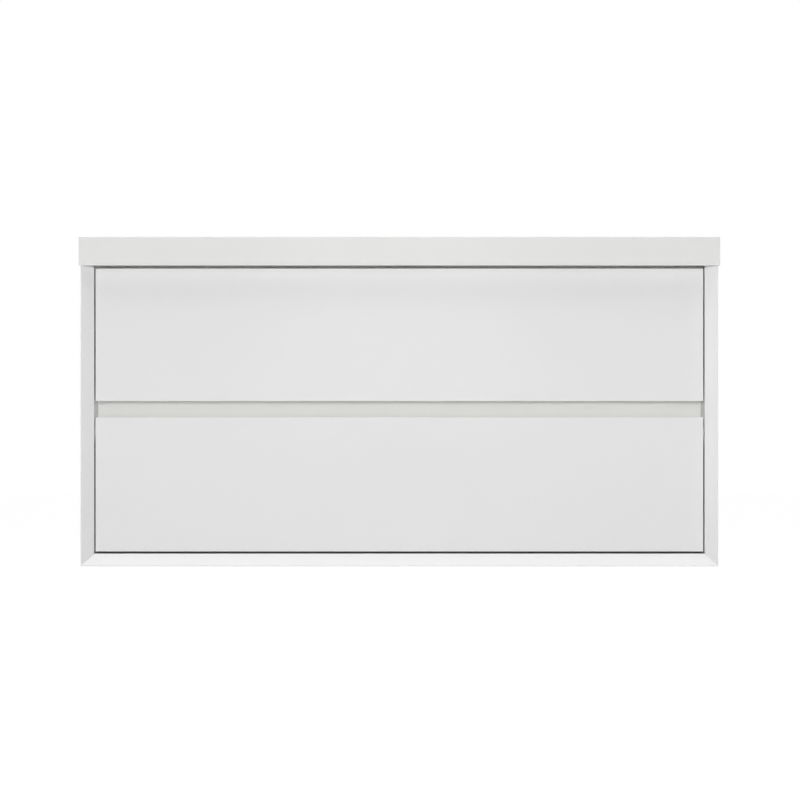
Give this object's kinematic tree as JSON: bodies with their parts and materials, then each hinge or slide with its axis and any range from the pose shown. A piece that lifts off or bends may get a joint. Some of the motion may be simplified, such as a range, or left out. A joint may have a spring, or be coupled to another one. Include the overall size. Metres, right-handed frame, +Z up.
{
  "type": "floating vanity",
  "caption": "Wall-hung white vanity with bevelled cabinet edges, handleless full-extension drawers, a finger gap and a one-piece sink top.",
  "frame": {"origin": "on the wall plane, in the middle of the four wall-bolt holes", "axes": "+Z up, +X along the wall to the viewer's right, +Y into the wall, so the front faces -Y"},
  "size_m": [1.219, 0.47, 0.626],
  "materials": {
    "cast_acrylic": "gloss white cast acrylic and mineral composite",
    "white_lacquer": "fibreboard in gloss white lacquer",
    "drawer_board": "melamine-faced board, pale linen grey",
    "zinc_steel": "bright zinc-plated steel",
    "ball_steel": "plain steel cage and polished balls",
    "chrome": "polished chrome",
    "black_plastic": "moulded black plastic",
    "grey_rubber": "soft grey rubber"
  },
  "bodies": {
    "cabinet": {"sink_top": "cast_acrylic", "overflow_ring": "chrome", "side_panel_left": "white_lacquer", "side_panel_right": "white_lacquer", "bottom_panel": "white_lacquer", "upper_back_rail": "white_lacquer", "lower_back_rail": "white_lacquer", "front_rail": "white_lacquer", "grip_rail": "white_lacquer", "wall_plates": "zinc_steel", "corner_brackets": "zinc_steel", "bracket_screws": "zinc_steel", "runner_screws": "zinc_steel", "runner_buffers": "grey_rubber", "closing_pad": "grey_rubber", "upper_left_outer_slide": "zinc_steel", "upper_right_outer_slide": "zinc_steel", "lower_left_outer_slide": "zinc_steel", "lower_right_outer_slide": "zinc_steel"},
    "upper_drawer": {"upper_drawer_front": "white_lacquer", "upper_box_front": "drawer_board", "upper_box_side_left": "drawer_board", "upper_box_side_right": "drawer_board", "upper_box_back_left": "drawer_board", "upper_box_back_right": "drawer_board", "upper_box_bottom": "drawer_board", "bay_side_left": "drawer_board", "bay_side_right": "drawer_board", "bay_front_wall": "drawer_board", "upper_drawer_screws": "zinc_steel", "upper_left_inner_slide": "zinc_steel", "upper_right_inner_slide": "zinc_steel"},
    "lower_drawer": {"lower_drawer_front": "white_lacquer", "lower_box_front": "drawer_board", "lower_box_side_left": "drawer_board", "lower_box_side_right": "drawer_board", "lower_box_back": "drawer_board", "lower_box_bottom": "drawer_board", "lower_drawer_screws": "zinc_steel", "lower_left_inner_slide": "zinc_steel", "lower_right_inner_slide": "zinc_steel"},
    "upper_left_outer_cage": {"upper_left_outer_cage": "ball_steel"},
    "upper_left_middle_slide": {"upper_left_middle_slide": "zinc_steel"},
    "upper_left_inner_cage": {"upper_left_inner_cage": "ball_steel"},
    "upper_left_release_lever": {"upper_left_release_lever": "black_plastic"},
    "upper_right_outer_cage": {"upper_right_outer_cage": "ball_steel"},
    "upper_right_middle_slide": {"upper_right_middle_slide": "zinc_steel"},
    "upper_right_inner_cage": {"upper_right_inner_cage": "ball_steel"},
    "upper_right_release_lever": {"upper_right_release_lever": "black_plastic"},
    "lower_left_outer_cage": {"lower_left_outer_cage": "ball_steel"},
    "lower_left_middle_slide": {"lower_left_middle_slide": "zinc_steel"},
    "lower_left_inner_cage": {"lower_left_inner_cage": "ball_steel"},
    "lower_left_release_lever": {"lower_left_release_lever": "black_plastic"},
    "lower_right_outer_cage": {"lower_right_outer_cage": "ball_steel"},
    "lower_right_middle_slide": {"lower_right_middle_slide": "zinc_steel"},
    "lower_right_inner_cage": {"lower_right_inner_cage": "ball_steel"},
    "lower_right_release_lever": {"lower_right_release_lever": "black_plastic"}
  },
  "joints": [
    {"name": "upper_drawer_slide", "type": "slide", "parent": "cabinet", "child": "upper_drawer", "axis": [0, -1, 0], "range_m": [0, 0.3717]},
    {"name": "lower_drawer_slide", "type": "slide", "parent": "cabinet", "child": "lower_drawer", "axis": [0, -1, 0], "range_m": [0, 0.3717]},
    {"name": "upper_left_outer_cage_travel", "type": "slide", "parent": "cabinet", "child": "upper_left_outer_cage", "axis": [0, -1, 0], "range_m": [0, 0.09292]},
    {"name": "upper_left_middle_slide_travel", "type": "slide", "parent": "cabinet", "child": "upper_left_middle_slide", "axis": [0, -1, 0], "range_m": [0, 0.18585]},
    {"name": "upper_left_inner_cage_travel", "type": "slide", "parent": "cabinet", "child": "upper_left_inner_cage", "axis": [0, -1, 0], "range_m": [0, 0.27877]},
    {"name": "upper_left_release_lever_turn", "type": "hinge", "parent": "upper_drawer", "child": "upper_left_release_lever", "pos_m": [-0.5743, -0.2345, 0.0905], "axis": [1, 0, 0], "range_deg": [0, 6], "stiffness_Nm_per_rad": 0.05},
    {"name": "upper_right_outer_cage_travel", "type": "slide", "parent": "cabinet", "child": "upper_right_outer_cage", "axis": [0, -1, 0], "range_m": [0, 0.09292]},
    {"name": "upper_right_middle_slide_travel", "type": "slide", "parent": "cabinet", "child": "upper_right_middle_slide", "axis": [0, -1, 0], "range_m": [0, 0.18585]},
    {"name": "upper_right_inner_cage_travel", "type": "slide", "parent": "cabinet", "child": "upper_right_inner_cage", "axis": [0, -1, 0], "range_m": [0, 0.27877]},
    {"name": "upper_right_release_lever_turn", "type": "hinge", "parent": "upper_drawer", "child": "upper_right_release_lever", "pos_m": [0.5743, -0.2345, 0.0905], "axis": [1, 0, 0], "range_deg": [-6, 0], "stiffness_Nm_per_rad": 0.05},
    {"name": "lower_left_outer_cage_travel", "type": "slide", "parent": "cabinet", "child": "lower_left_outer_cage", "axis": [0, -1, 0], "range_m": [0, 0.09292]},
    {"name": "lower_left_middle_slide_travel", "type": "slide", "parent": "cabinet", "child": "lower_left_middle_slide", "axis": [0, -1, 0], "range_m": [0, 0.18585]},
    {"name": "lower_left_inner_cage_travel", "type": "slide", "parent": "cabinet", "child": "lower_left_inner_cage", "axis": [0, -1, 0], "range_m": [0, 0.27877]},
    {"name": "lower_left_release_lever_turn", "type": "hinge", "parent": "lower_drawer", "child": "lower_left_release_lever", "pos_m": [-0.5743, -0.2345, -0.213], "axis": [1, 0, 0], "range_deg": [0, 6], "stiffness_Nm_per_rad": 0.05},
    {"name": "lower_right_outer_cage_travel", "type": "slide", "parent": "cabinet", "child": "lower_right_outer_cage", "axis": [0, -1, 0], "range_m": [0, 0.09292]},
    {"name": "lower_right_middle_slide_travel", "type": "slide", "parent": "cabinet", "child": "lower_right_middle_slide", "axis": [0, -1, 0], "range_m": [0, 0.18585]},
    {"name": "lower_right_inner_cage_travel", "type": "slide", "parent": "cabinet", "child": "lower_right_inner_cage", "axis": [0, -1, 0], "range_m": [0, 0.27877]},
    {"name": "lower_right_release_lever_turn", "type": "hinge", "parent": "lower_drawer", "child": "lower_right_release_lever", "pos_m": [0.5743, -0.2345, -0.213], "axis": [1, 0, 0], "range_deg": [-6, 0], "stiffness_Nm_per_rad": 0.05}
  ],
  "couplings": [
    {"joint": "upper_left_outer_cage_travel", "follows": "upper_drawer_slide", "ratio": 0.25},
    {"joint": "upper_left_middle_slide_travel", "follows": "upper_drawer_slide", "ratio": 0.5},
    {"joint": "upper_left_inner_cage_travel", "follows": "upper_drawer_slide", "ratio": 0.75},
    {"joint": "upper_right_outer_cage_travel", "follows": "upper_drawer_slide", "ratio": 0.25},
    {"joint": "upper_right_middle_slide_travel", "follows": "upper_drawer_slide", "ratio": 0.5},
    {"joint": "upper_right_inner_cage_travel", "follows": "upper_drawer_slide", "ratio": 0.75},
    {"joint": "lower_left_outer_cage_travel", "follows": "lower_drawer_slide", "ratio": 0.25},
    {"joint": "lower_left_middle_slide_travel", "follows": "lower_drawer_slide", "ratio": 0.5},
    {"joint": "lower_left_inner_cage_travel", "follows": "lower_drawer_slide", "ratio": 0.75},
    {"joint": "lower_right_outer_cage_travel", "follows": "lower_drawer_slide", "ratio": 0.25},
    {"joint": "lower_right_middle_slide_travel", "follows": "lower_drawer_slide", "ratio": 0.5},
    {"joint": "lower_right_inner_cage_travel", "follows": "lower_drawer_slide", "ratio": 0.75}
  ]
}
